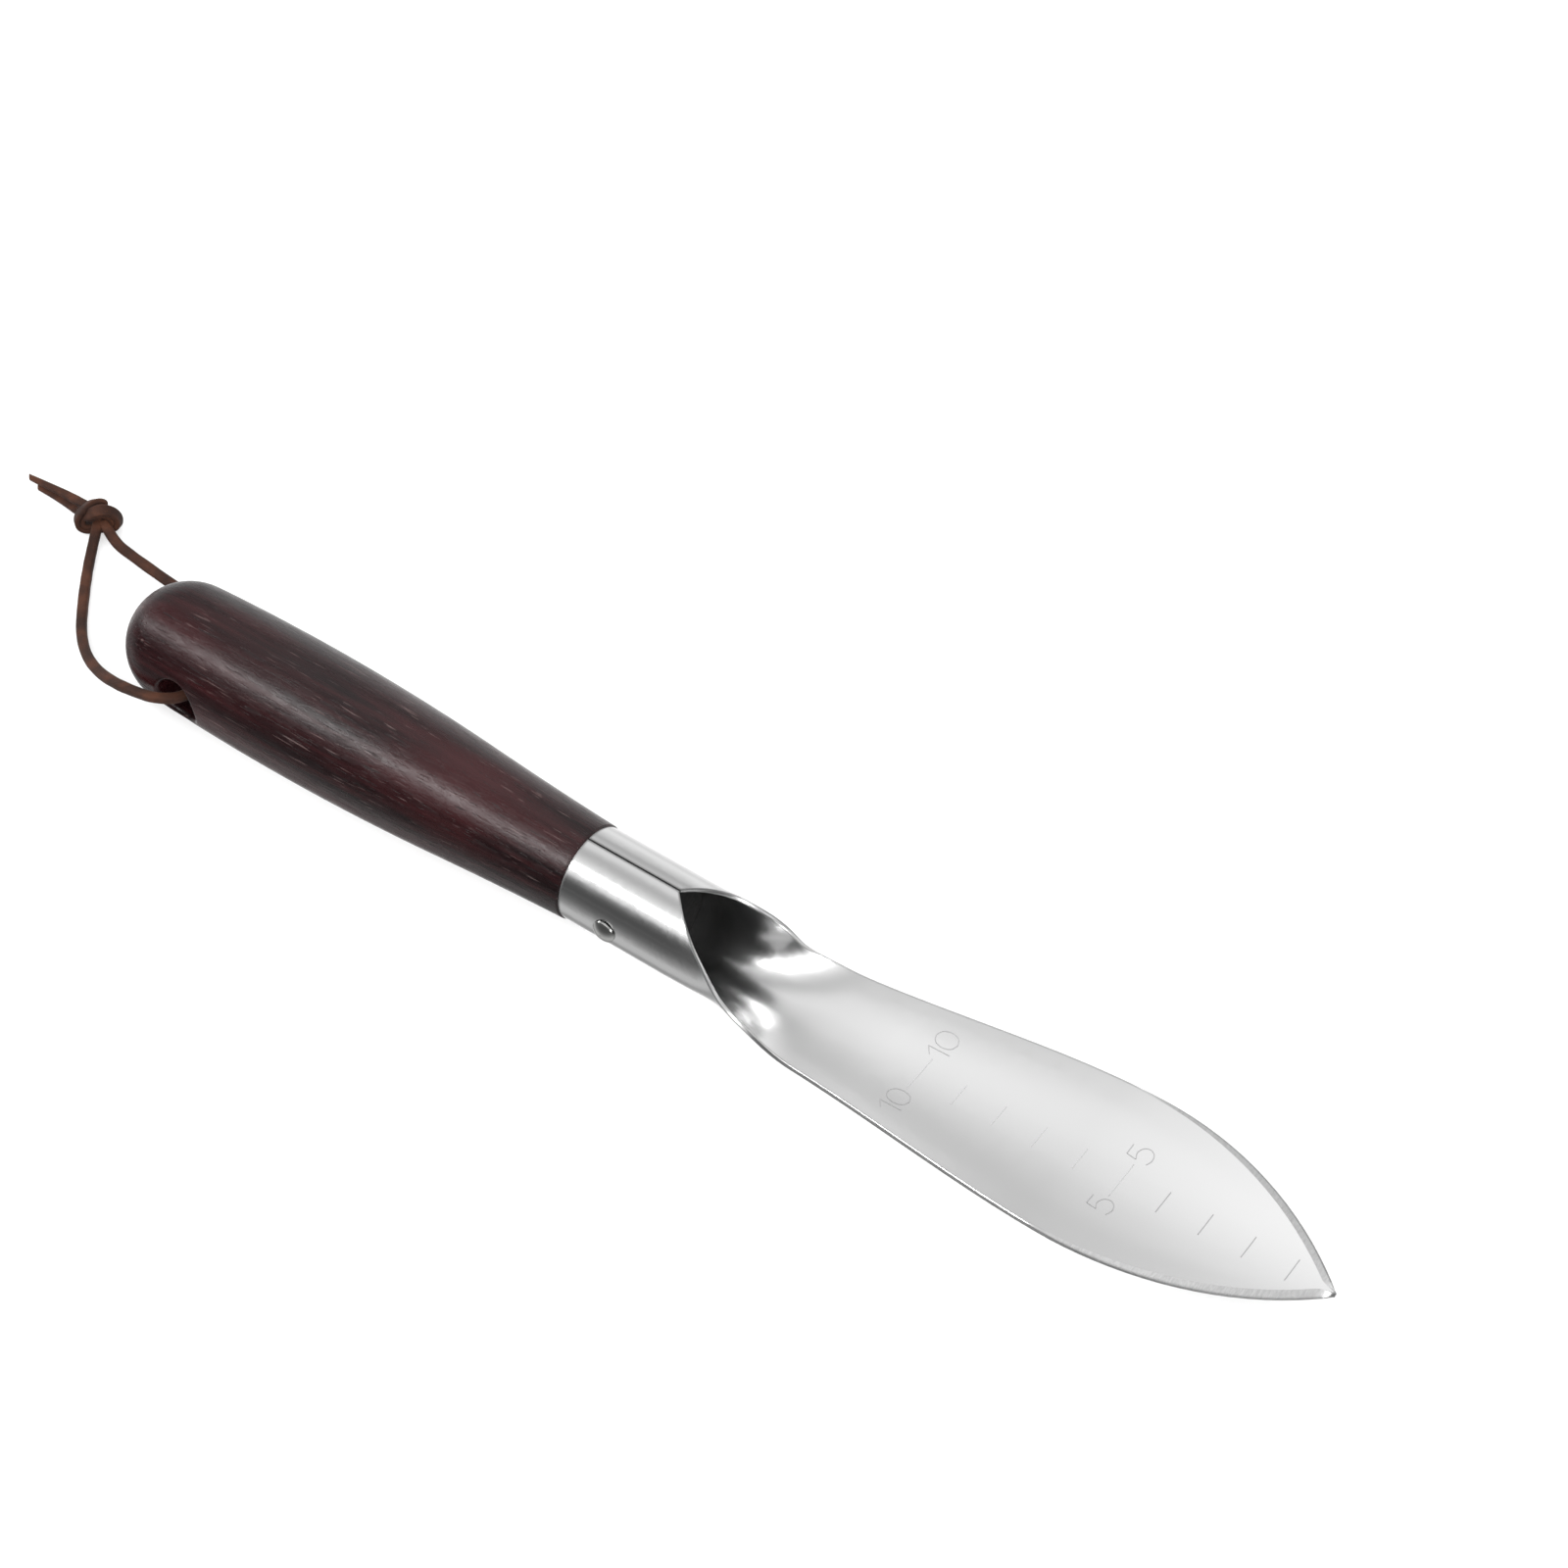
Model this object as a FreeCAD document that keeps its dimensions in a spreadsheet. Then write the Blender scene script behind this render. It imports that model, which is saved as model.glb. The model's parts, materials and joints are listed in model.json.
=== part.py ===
import FreeCAD, Part
import math
import os

import Sketcher
from FreeCAD import Vector

# A hand planting trowel: a leaf-shaped stainless blade rolled into a socket, a turned handle with a tenon,
# one rivet, and a leather lace through a hang hole.
#
# Each piece is drawn in the tool's own frame, in millimetres: the X axis is the axis of the handle and of the
# socket, the tip of the blade is at X = 0 and everything else is at negative X. "Back" means a distance from
# the tip towards the handle. Every piece then gets the same Placement, which puts the middle of the tool's
# length at X = 0 and the lowest line of the handle at Z = 0.

NODE_FOLDER = "parts"

DIMENSIONS = {
    # the whole tool
    "total_length": 321.8,
    # the sheet, and the socket rolled from it
    "sheet": 1.0,
    "socket_radius": 11.35,
    "mouth_back": 163.0,
    "socket_back": 188.0,
    "seam_gap": 0.45,
    # the blade: half widths are measured along the sheet, from the middle to the edge
    "blade_half_width": 21.6,
    "widest_back": 54.0,
    "tip_blunting": 0.4,
    "neck_back": 138.0,
    "neck_half_width": 14.45,
    "mouth_flare": 1.3,
    # the line of the blade's middle, above the axis at the tip and falling towards the socket
    "tip_rise": 1.0,
    "spine_fall": 0.062,
    # the dish of the blade, and where the round of the socket opens into it, measured from the mouth
    "dish_radius_wide": 105.0,
    "dish_radius_neck": 48.0,
    "unroll_start": 12.0,
    "unroll_end": 40.0,
    # the bevel ground on the upper side of the point
    "bevel_back": 60.0,
    "bevel_width": 2.6,
    "bevel_growth": 0.7,
    "edge_land": 0.2,
    "edge_break": 0.15,
    # the steps between the sections that the blade is lofted through
    "tip_step": 1.0,
    "mouth_step": 0.3,
    "longest_step": 4.0,
    "step_growth": 0.12,
    # the handle, with the broken edge of its shoulder behind the socket
    "tenon_end_back": 165.0,
    "tenon_play": 0.03,
    "shoulder_radius": 11.65,
    "shoulder_break": 0.6,
    "neck_end_back": 223.0,
    "swell_back": 275.0,
    "swell_radius": 15.75,
    "swell_curve": 680.0,
    # the hang hole, which crosses the handle a little under its axis
    "hole_back": 298.0,
    "hole_drop": 1.5,
    "hole_radius": 5.9,
    "hole_round": 1.0,
    # the rivet
    "rivet_back": 175.3,
    "shank_radius": 1.6,
    "head_radius": 2.85,
    "head_rise": 1.5,
    "upset_radius": 2.4,
    "upset_rise": 0.8,
    # the lace
    "lace_radius": 1.3,
    "knot_along": 5.6,
    "knot_across": 4.3,
    "knot_up": 3.6,
}

# The lace's route, each point from the middle of the hang hole. Both strands start face to face in the hole,
# come out of it sideways, bend back past the end of the handle and come down to the surface it lies on.
NEAR_ROUTE = [
    (0.0, 0.0, 0.3),
    (0.9, -6.9, 0.4),
    (1.0, -13.6, 1.1),
    (-3.2, -17.4, 1.5),
    (-9.6, -17.6, -0.3),
    (-17.8, -16.6, -3.2),
    (-26.6, -14.0, -6.9),
    (-35.6, -9.6, -10.3),
    (-43.9, -3.2, -12.6),
    (-50.4, 4.2, -12.95),
    (-56.8, 12.2, -12.95),
    (-62.2, 19.8, -12.7),
    (-66.4, 27.0, -10.8),
]
FAR_ROUTE = [
    (0.0, 0.0, 0.3),
    (-0.4, 7.2, 0.3),
    (-0.6, 14.2, 0.0),
    (-4.6, 17.6, -1.6),
    (-10.6, 19.4, -4.4),
    (-18.0, 20.4, -8.0),
    (-26.4, 21.0, -11.2),
    (-35.4, 21.7, -12.7),
    (-44.2, 22.7, -12.95),
    (-52.4, 23.6, -12.95),
    (-59.4, 24.4, -12.7),
    (-65.0, 27.0, -10.9),
]
TAIL_ROUTES = [
    [(-69.5, 27.6, -9.6), (-77.0, 28.1, -10.2), (-84.4, 28.0, -10.3), (-91.3, 27.7, -10.3)],
    [(-70.0, 26.2, -12.2), (-76.4, 26.9, -12.95), (-82.6, 27.3, -12.95), (-88.8, 27.4, -12.95)],
]
KNOT_CENTRE = (-67.4, 27.4, -10.6)
KNOT_TURN = 36.0
# Names for a sketch's own numbers: the ends and centre of an edge, its origin and its horizontal axis.
START, END, CENTRE = 1, 2, 3
ORIGIN = (-1, 1)
X_AXIS = -1

ARC_SHARE = 0.45  # how much of the shorter run an arc of the lace takes on each side of its corner
CURVE_SPANS = 24  # how many even steps each curve of the sheet's section is drawn through


def make_sheet(doc):
    """The spreadsheet that drives every size."""
    table = doc.addObject("Spreadsheet::Sheet", "sizes")
    for row, (name, value) in enumerate(DIMENSIONS.items(), start=1):
        table.set(f"A{row}", name)
        table.set(f"B{row}", str(value))
        table.setAlias(f"B{row}", name)
    doc.recompute()
    return table


def place(piece):
    """Puts a piece drawn in the tool's frame where it stands in the part."""
    piece.setExpression("Placement.Base.x", "sizes.total_length / 2")
    piece.setExpression("Placement.Base.z", "sizes.swell_radius")


def add_feature(doc, label, shape):
    """A piece whose shape is worked out from the sheet."""
    piece = doc.addObject("Part::Feature", label)
    piece.Label = label
    piece.Shape = shape
    place(piece)
    return piece


def smooth_step(t):
    """0 before t = 0, 1 after t = 1, level at both ends."""
    t = min(max(t, 0.0), 1.0)
    return t * t * (3.0 - 2.0 * t)


# ---------------------------------------------------------------------------------------- blade and socket


def half_width(s, back):
    """From the middle of the sheet to its edge, along the sheet, at a distance back from the tip."""
    if back <= s.widest_back:
        reach = s.widest_back + s.tip_blunting
        point_radius = (reach**2 + s.blade_half_width**2) / (2.0 * s.blade_half_width)
        along = s.widest_back - back
        return s.blade_half_width - point_radius + math.sqrt(point_radius**2 - along**2)
    if back <= s.neck_back:
        t = (s.neck_back - back) / (s.neck_back - s.widest_back)
        return s.neck_half_width + (s.blade_half_width - s.neck_half_width) * smooth_step(t)
    rolled = math.pi * middle_radius(s) - s.seam_gap / 2.0
    rolled_part = min((back - s.neck_back) / (s.mouth_back - s.neck_back), 1.0)
    return s.neck_half_width + (rolled - s.neck_half_width) * rolled_part**s.mouth_flare


def middle_radius(s):
    """The socket's radius at the middle of the sheet's thickness."""
    return s.socket_radius - s.sheet / 2.0


def dish_radius(s, back):
    """The radius of the section, at the middle of the sheet's thickness."""
    t = (back - s.widest_back) / (s.neck_back - s.widest_back)
    t = min(max(t, 0.0), 1.0)
    blade_bend = (1.0 - t) / s.dish_radius_wide + t / s.dish_radius_neck
    opened = smooth_step((s.mouth_back - back - s.unroll_start) / (s.unroll_end - s.unroll_start))
    return 1.0 / (blade_bend * opened + (1.0 - opened) / middle_radius(s))


def spine_height(s, back):
    """The height of the middle of the sheet on the tool's centre line."""
    blade_line = s.tip_rise - s.spine_fall * back
    opened = smooth_step((s.mouth_back - back) / s.unroll_end)
    return blade_line * opened - middle_radius(s) * (1.0 - opened)


def sheet_section(s, back):
    """The closed outline of the sheet across the tool: two curves, the two edges and their bevels."""
    radius = dish_radius(s, back)
    centre = spine_height(s, back) + radius
    outer = radius + s.sheet / 2.0
    inner = radius - s.sheet / 2.0
    ground = max(0.0, 1.0 - back / s.bevel_back) ** s.bevel_growth
    bevel = s.edge_break + (s.bevel_width - s.edge_break) * ground
    land = s.sheet - s.edge_break - (s.sheet - s.edge_break - s.edge_land) * ground
    edge = half_width(s, back)
    bevel = min(bevel, 0.7 * edge)
    edge_angle = edge / radius
    bevel_angle = (edge - bevel) / radius

    def point(distance, angle):
        return Vector(-back, distance * math.sin(angle), centre - distance * math.cos(angle))

    corners = []
    for side in (1.0, -1.0):
        corners.append(point(outer, side * edge_angle))
        corners.append(point(outer - land, side * edge_angle))
        corners.append(point(inner, side * bevel_angle))
    right_low, right_land, right_top, left_low, left_land, left_top = corners
    edges = [
        even_curve(lambda angle: point(outer, angle), -edge_angle, edge_angle),
        Part.LineSegment(right_low, right_land).toShape(),
        Part.LineSegment(right_land, right_top).toShape(),
        even_curve(lambda angle: point(inner, angle), bevel_angle, -bevel_angle),
        Part.LineSegment(left_top, left_land).toShape(),
        Part.LineSegment(left_land, left_low).toShape(),
    ]
    return Part.Wire(edges)


def even_curve(point_at, first, last):
    """A curve through evenly spaced points, made alike in every section so that the loft has no ripples."""
    shares = [k / CURVE_SPANS for k in range(CURVE_SPANS + 1)]
    points = [point_at(first + (last - first) * share) for share in shares]
    curve = Part.BSplineCurve()
    curve.interpolate(Points=points, Parameters=shares)
    return curve.toShape()


def blade_stations(s):
    """How far back the sections are: their steps grow and shrink gently, as an even loft needs."""
    stations = [0.0]
    while stations[-1] < s.mouth_back:
        from_tip = stations[-1]
        to_mouth = s.mouth_back - from_tip
        near_tip = s.tip_step + s.step_growth * from_tip
        near_mouth = s.mouth_step + s.step_growth * to_mouth
        stations.append(from_tip + min(near_tip, s.longest_step, near_mouth))
    return [back * s.mouth_back / stations[-1] for back in stations]


def make_blade_socket(doc, s):
    """One piece of sheet: the blade, and the socket rolled from its root."""
    blade = Part.makeLoft([sheet_section(s, back) for back in blade_stations(s)], True, False)
    socket = Part.makeLoft([sheet_section(s, back) for back in (s.mouth_back, s.socket_back)], True, True)
    shank_hole = Part.makeCylinder(
        s.shank_radius,
        2.2 * s.socket_radius,
        Vector(-s.rivet_back, 1.1 * s.socket_radius, 0.0),
        Vector(0.0, -1.0, 0.0),
    )
    return add_feature(doc, "blade_socket", blade.fuse(socket).cut(shank_hole))


# --------------------------------------------------------------------------------------------------- handle


def origin_plane(body, role):
    return [plane for plane in body.Origin.OriginFeatures if plane.Role == role][0]


def add_sketch(body, name, role):
    sketch = body.newObject("Sketcher::SketchObject", name)
    sketch.AttachmentSupport = [(origin_plane(body, role), "")]
    sketch.MapMode = "FlatFace"
    return sketch


def dimension(sketch, name, rule, expression):
    """Adds a named dimension to a sketch and ties it to the spreadsheet."""
    value = sketch.evalExpression(expression)
    value = getattr(value, "Value", value)
    index = sketch.addConstraint(Sketcher.Constraint(*rule, value))
    sketch.renameConstraint(index, name)
    sketch.setExpression(f"Constraints.{name}", expression)


def arc_between(centre, radius, start, end):
    """An arc in the sketch's plane, counter-clockwise from start to end."""
    circle = Part.Circle(Vector(*centre, 0.0), Vector(0.0, 0.0, 1.0), radius)
    first = math.atan2(start[1] - centre[1], start[0] - centre[0])
    last = math.atan2(end[1] - centre[1], end[0] - centre[0])
    return Part.ArcOfCircle(circle, first, last)


def make_handle(doc, s):
    """The handle: a turned profile with its tenon, and the hang hole across it."""
    body = doc.addObject("PartDesign::Body", "handle")
    body.Label = "handle"
    tenon = s.socket_radius - s.sheet - s.tenon_play
    swell_centre = (-s.swell_back, s.swell_radius - s.swell_curve)
    along = s.swell_back - s.neck_end_back
    neck = (-s.neck_end_back, swell_centre[1] + math.sqrt(s.swell_curve**2 - along**2))
    # the round end is the one circle that ends at the tool's length and touches the swell's arc from inside
    past_swell = s.total_length - s.swell_back
    end_radius = s.swell_curve**2 - swell_centre[1] ** 2 - past_swell**2
    end_radius /= 2.0 * (s.swell_curve - past_swell)
    end_centre_x = end_radius - s.total_length
    reach = s.swell_curve - end_radius
    join = (
        end_centre_x + (end_centre_x - swell_centre[0]) * end_radius / reach,
        -swell_centre[1] * end_radius / reach,
    )
    face_top = (-s.socket_back, s.shoulder_radius - s.shoulder_break)
    shoulder = (-s.socket_back - s.shoulder_break, s.shoulder_radius)
    # the hollow before the swell: an arc through the shoulder that is tangent to the swell at the neck
    away = Vector(neck[0] - swell_centre[0], neck[1] - swell_centre[1]).normalize()
    chord = Vector(shoulder[0] - neck[0], shoulder[1] - neck[1])
    hollow_curve = chord.Length**2 / (2.0 * chord.dot(away))
    hollow_centre = (neck[0] + away.x * hollow_curve, neck[1] + away.y * hollow_curve)
    corners = [
        (-s.tenon_end_back, 0.0),
        (-s.tenon_end_back, tenon),
        (-s.socket_back, tenon),
        face_top,
        shoulder,
    ]
    sketch = add_sketch(body, "turned_profile", "XZ_Plane")
    for first, second in zip(corners, corners[1:]):
        sketch.addGeometry(Part.LineSegment(Vector(*first, 0.0), Vector(*second, 0.0)))
    hollow = sketch.addGeometry(arc_between(hollow_centre, hollow_curve, neck, shoulder))
    swell = sketch.addGeometry(arc_between(swell_centre, s.swell_curve, neck, join))
    end = sketch.addGeometry(arc_between((end_centre_x, 0.0), end_radius, join, (-s.total_length, 0.0)))
    axis = sketch.addGeometry(Part.LineSegment(Vector(-s.total_length, 0.0, 0.0), Vector(*corners[0], 0.0)))
    tenon_end, tenon_side, face, shoulder_edge = 0, 1, 2, 3
    for rule in (
        ("Coincident", tenon_end, END, tenon_side, START),
        ("Coincident", tenon_side, END, face, START),
        ("Coincident", face, END, shoulder_edge, START),
        ("Coincident", shoulder_edge, END, hollow, END),
        ("Tangent", hollow, START, swell, START),
        ("Tangent", swell, END, end, START),
        ("Coincident", end, END, axis, START),
        ("Coincident", axis, END, tenon_end, START),
        ("Vertical", tenon_end),
        ("Horizontal", tenon_side),
        ("Vertical", face),
        ("PointOnObject", axis, START, X_AXIS),
        ("PointOnObject", axis, END, X_AXIS),
        ("PointOnObject", end, CENTRE, X_AXIS),
    ):
        sketch.addConstraint(Sketcher.Constraint(*rule))
    dimension(sketch, "tenon_end", ("DistanceX", tenon_end, START, *ORIGIN), "sizes.tenon_end_back")
    tenon_rule = "sizes.socket_radius - sizes.sheet - sizes.tenon_play"
    dimension(sketch, "tenon_radius", ("DistanceY", tenon_end, START, tenon_end, END), tenon_rule)
    dimension(sketch, "shoulder_back", ("DistanceX", face, START, *ORIGIN), "sizes.socket_back")
    dimension(sketch, "shoulder_radius", ("DistanceY", *ORIGIN, shoulder_edge, END), "sizes.shoulder_radius")
    for name, rule in (
        ("break_along", ("DistanceX", shoulder_edge, END, shoulder_edge, START)),
        ("break_down", ("DistanceY", shoulder_edge, START, shoulder_edge, END)),
    ):
        dimension(sketch, name, rule, "sizes.shoulder_break")
    dimension(sketch, "neck_end", ("DistanceX", hollow, START, *ORIGIN), "sizes.neck_end_back")
    dimension(sketch, "swell_back", ("DistanceX", swell, CENTRE, *ORIGIN), "sizes.swell_back")
    swell_rule = "sizes.swell_curve - sizes.swell_radius"
    dimension(sketch, "swell_depth", ("DistanceY", swell, CENTRE, *ORIGIN), swell_rule)
    dimension(sketch, "swell_curve", ("Radius", swell), "sizes.swell_curve")
    dimension(sketch, "handle_end", ("DistanceX", end, END, *ORIGIN), "sizes.total_length")
    turned = body.newObject("PartDesign::Revolution", "turned")
    turned.Profile = sketch
    turned.ReferenceAxis = (sketch, ["H_Axis"])
    turned.Angle = 360.0
    doc.recompute()
    drill(body, "rivet_hole", "sizes.rivet_back", "0 mm", "sizes.shank_radius")
    bore = drill(body, "hang_hole", "sizes.hole_back", "sizes.hole_drop", "sizes.hole_radius")
    doc.recompute()
    rims = rim_edges(bore.Shape, s)
    rounded = body.newObject("PartDesign::Fillet", "hang_hole_rims")
    rounded.Base = (bore, rims)
    rounded.setExpression("Radius", "sizes.hole_round")
    place(body)
    return body


def drill(body, name, back, drop, radius):
    """A round hole across the handle, through both sides."""
    sketch = add_sketch(body, name + "_circle", "XZ_Plane")
    circle = sketch.addGeometry(Part.Circle(Vector(-100.0, -1.0, 0.0), Vector(0.0, 0.0, 1.0), 1.0))
    dimension(sketch, "back", ("DistanceX", circle, CENTRE, *ORIGIN), back)
    dimension(sketch, "drop", ("DistanceY", circle, CENTRE, *ORIGIN), drop)
    dimension(sketch, "radius", ("Radius", circle), radius)
    hole = body.newObject("PartDesign::Pocket", name)
    hole.Profile = sketch
    hole.Type = "ThroughAll"
    hole.Midplane = True
    return hole


def rim_edges(shape, s):
    """The two edges where the hang hole comes out of the handle's side."""
    axis = Vector(-s.hole_back, 0.0, -s.hole_drop)
    names = []
    for number, edge in enumerate(shape.Edges, start=1):
        places = [edge.valueAt(p) for p in edge.ParameterRange]
        places.append(edge.valueAt(sum(edge.ParameterRange) / 2.0))
        off = [abs(math.hypot(p.x - axis.x, p.z - axis.z) - s.hole_radius) for p in places]
        long_enough = edge.Length > 2.0 * s.hole_radius
        across = abs(places[0].y - places[2].y) < s.hole_radius
        if max(off) < 0.01 and long_enough and across:
            names.append(f"Edge{number}")
    if len(names) != 2:
        raise RuntimeError(f"the hang hole has {len(names)} rims, not 2")
    return names


# ---------------------------------------------------------------------------------------------------- rivet


def make_rivet(doc, s):
    """The rivet: shank across the socket, domed head on the -Y side, upset head on the +Y side."""
    body = doc.addObject("PartDesign::Body", "rivet")
    body.Label = "rivet"
    rim = 0.45
    upset_rim = 0.3
    seat = s.socket_radius
    sketch = add_sketch(body, "rivet_profile", "XY_Plane")

    def at(radius, height):
        return Vector(radius, height, 0.0)

    def dome(radius, base, rise, side):
        ball = (radius**2 + rise**2) / (2.0 * rise)
        half_angle = math.asin(radius / ball) / 2.0
        middle = at(ball * math.sin(half_angle), side * (base + rise - ball + ball * math.cos(half_angle)))
        return Part.Arc(at(radius, side * base), middle, at(0.0, side * (base + rise)))

    outline = [
        dome(s.head_radius, seat + rim, s.head_rise - rim, -1.0),
        Part.LineSegment(at(s.head_radius, -seat - rim), at(s.head_radius, -seat)),
        Part.LineSegment(at(s.head_radius, -seat), at(s.shank_radius, -seat)),
        Part.LineSegment(at(s.shank_radius, -seat), at(s.shank_radius, seat)),
        Part.LineSegment(at(s.shank_radius, seat), at(s.upset_radius, seat)),
        Part.LineSegment(at(s.upset_radius, seat), at(s.upset_radius, seat + upset_rim)),
        dome(s.upset_radius, seat + upset_rim, s.upset_rise - upset_rim, 1.0),
        Part.LineSegment(at(0.0, seat + s.upset_rise), at(0.0, -seat - s.head_rise)),
    ]
    for piece in outline:
        sketch.addGeometry(piece)
    turned = body.newObject("PartDesign::Revolution", "turned_rivet")
    turned.Profile = sketch
    turned.ReferenceAxis = (sketch, ["V_Axis"])
    turned.Angle = 360.0
    body.setExpression("Placement.Base.x", "sizes.total_length / 2 - sizes.rivet_back")
    body.setExpression("Placement.Base.z", "sizes.swell_radius")
    return body


# ----------------------------------------------------------------------------------------------------- lace


def smooth_route(points):
    """Straight runs joined by tangent arcs, each as large as its two runs allow."""
    points = [Vector(*p) for p in points]
    edges = []
    radii = []
    start = points[0]
    for before, corner, after in zip(points, points[1:], points[2:]):
        arriving = (corner - before).normalize()
        leaving = (after - corner).normalize()
        half_turn = arriving.getAngle(leaving) / 2.0
        cut = ARC_SHARE * min((corner - before).Length, (after - corner).Length)
        radius = cut / math.tan(half_turn)
        first = corner - arriving * cut
        last = corner + leaving * cut
        inward = (leaving - arriving).normalize()
        middle = corner + inward * (radius / math.cos(half_turn) - radius)
        edges.append(Part.LineSegment(start, first).toShape())
        edges.append(Part.Arc(first, middle, last).toShape())
        radii.append(radius)
        start = last
    edges.append(Part.LineSegment(start, points[-1]).toShape())
    return Part.Wire(edges), radii


def lace_tube(name, route, s):
    """A round tube along a route that is given from the middle of the hang hole."""
    hole = Vector(-s.hole_back, 0.0, -s.hole_drop)
    path, radii = smooth_route([hole + Vector(*p) for p in route])
    first_run = Vector(*route[1]) - Vector(*route[0])
    section = Part.Wire(Part.makeCircle(s.lace_radius, hole + Vector(*route[0]), first_run))
    tube = path.makePipeShell([section], True, True)
    expected = math.pi * s.lace_radius**2 * path.Length
    print(f"{name}: length {path.Length:.1f} mm, radii {[round(r, 1) for r in radii]}")
    print(f"{name}: volume {tube.Volume:.1f}, section times length {expected:.1f}")
    return tube


def make_lace(doc, s):
    """The lace: two strands through the hang hole, the knot that joins them, and the two tails."""
    hole = Vector(-s.hole_back, 0.0, -s.hole_drop)
    stretch = FreeCAD.Matrix()
    stretch.scale(s.knot_along, s.knot_across, s.knot_up)
    stretch.rotateZ(math.radians(KNOT_TURN))
    stretch.move(hole + Vector(*KNOT_CENTRE))
    knot = Part.makeSphere(1.0).transformGeometry(stretch)
    near = lace_tube("lanyard_near_strand", NEAR_ROUTE, s).cut(knot)
    far = lace_tube("lanyard_far_strand", FAR_ROUTE, s).cut(knot)
    tails = [lace_tube("lanyard_tails", route, s).cut(knot) for route in TAIL_ROUTES]
    add_feature(doc, "lanyard_near_strand", near)
    add_feature(doc, "lanyard_far_strand", far)
    add_feature(doc, "lanyard_knot", knot)
    add_feature(doc, "lanyard_tails", Part.makeCompound(tails))


# ----------------------------------------------------------------------------------------------------- model


def check(doc, pieces):
    """Stops before anything is written if an object failed or a shape isn't sound."""
    for item in doc.Objects:
        if "Invalid" in item.State or "Error" in item.State:
            raise RuntimeError(f"{item.Label} failed: {item.State}")
    for piece in pieces:
        if piece.Shape.isNull() or not piece.Shape.isValid():
            raise RuntimeError(f"{piece.Label} has no sound shape")
        box = piece.Shape.optimalBoundingBox()
        sides = f"{box.XLength:.1f} x {box.YLength:.1f} x {box.ZLength:.1f} mm"
        print(f"{piece.Label}: {len(piece.Shape.Solids)} solid, {sides}, {piece.Shape.Volume:.0f} mm3")


def main():
    doc = FreeCAD.newDocument("trowel")
    s = make_sheet(doc)
    make_blade_socket(doc, s)
    make_handle(doc, s)
    make_rivet(doc, s)
    make_lace(doc, s)
    doc.recompute()
    labels = [
        "blade_socket",
        "handle",
        "rivet",
        "lanyard_near_strand",
        "lanyard_far_strand",
        "lanyard_knot",
        "lanyard_tails",
    ]
    pieces = [doc.getObjectsByLabel(label)[0] for label in labels]
    check(doc, pieces)
    os.makedirs(NODE_FOLDER, exist_ok=True)
    for piece in pieces:
        piece.Shape.exportStep(f"{NODE_FOLDER}/{piece.Label}.step")


main()
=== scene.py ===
import json
import math

import bmesh
import bpy
from mathutils import Matrix, Vector, noise
from mathutils.bvhtree import BVHTree


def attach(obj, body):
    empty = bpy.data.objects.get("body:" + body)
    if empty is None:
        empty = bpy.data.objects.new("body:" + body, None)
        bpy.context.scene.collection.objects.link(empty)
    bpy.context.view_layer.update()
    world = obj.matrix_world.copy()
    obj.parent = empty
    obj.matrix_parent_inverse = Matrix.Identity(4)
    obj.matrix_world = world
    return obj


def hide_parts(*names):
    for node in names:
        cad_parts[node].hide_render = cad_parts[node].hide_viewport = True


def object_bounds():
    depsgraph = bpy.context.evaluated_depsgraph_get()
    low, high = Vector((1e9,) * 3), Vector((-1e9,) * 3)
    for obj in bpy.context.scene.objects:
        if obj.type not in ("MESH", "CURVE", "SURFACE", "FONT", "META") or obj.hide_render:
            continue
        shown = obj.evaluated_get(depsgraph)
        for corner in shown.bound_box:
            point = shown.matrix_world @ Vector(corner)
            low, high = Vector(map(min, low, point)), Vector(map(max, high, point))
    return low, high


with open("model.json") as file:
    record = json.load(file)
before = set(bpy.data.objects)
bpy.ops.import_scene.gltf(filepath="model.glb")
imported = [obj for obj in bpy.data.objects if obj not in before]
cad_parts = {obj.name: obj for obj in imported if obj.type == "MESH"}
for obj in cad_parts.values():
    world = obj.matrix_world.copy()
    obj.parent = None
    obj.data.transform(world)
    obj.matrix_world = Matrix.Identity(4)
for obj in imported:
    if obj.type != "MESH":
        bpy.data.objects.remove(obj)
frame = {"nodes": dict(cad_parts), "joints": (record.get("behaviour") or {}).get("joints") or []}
cad_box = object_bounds()

# A hand planting trowel lying on a pale floor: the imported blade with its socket, handle and rivet keep their
# shape and get their materials here; the leather lace with its knot and the depth marks are built here.

MM = 0.001
HOLE = Vector(frame["joints"][0]["pos_m"])  # the middle of the hang hole
SOCKET_END = -0.0271  # where the socket ends on the handle, along X
TIP_X = cad_box[1][0]  # where the blade's tip is, along X
BEVEL_LENGTH = 0.060  # how far back from the tip the bevel begins
RIM_REACH = 0.0011  # a little more than the sheet's thickness, so that cut rims count as edges

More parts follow.
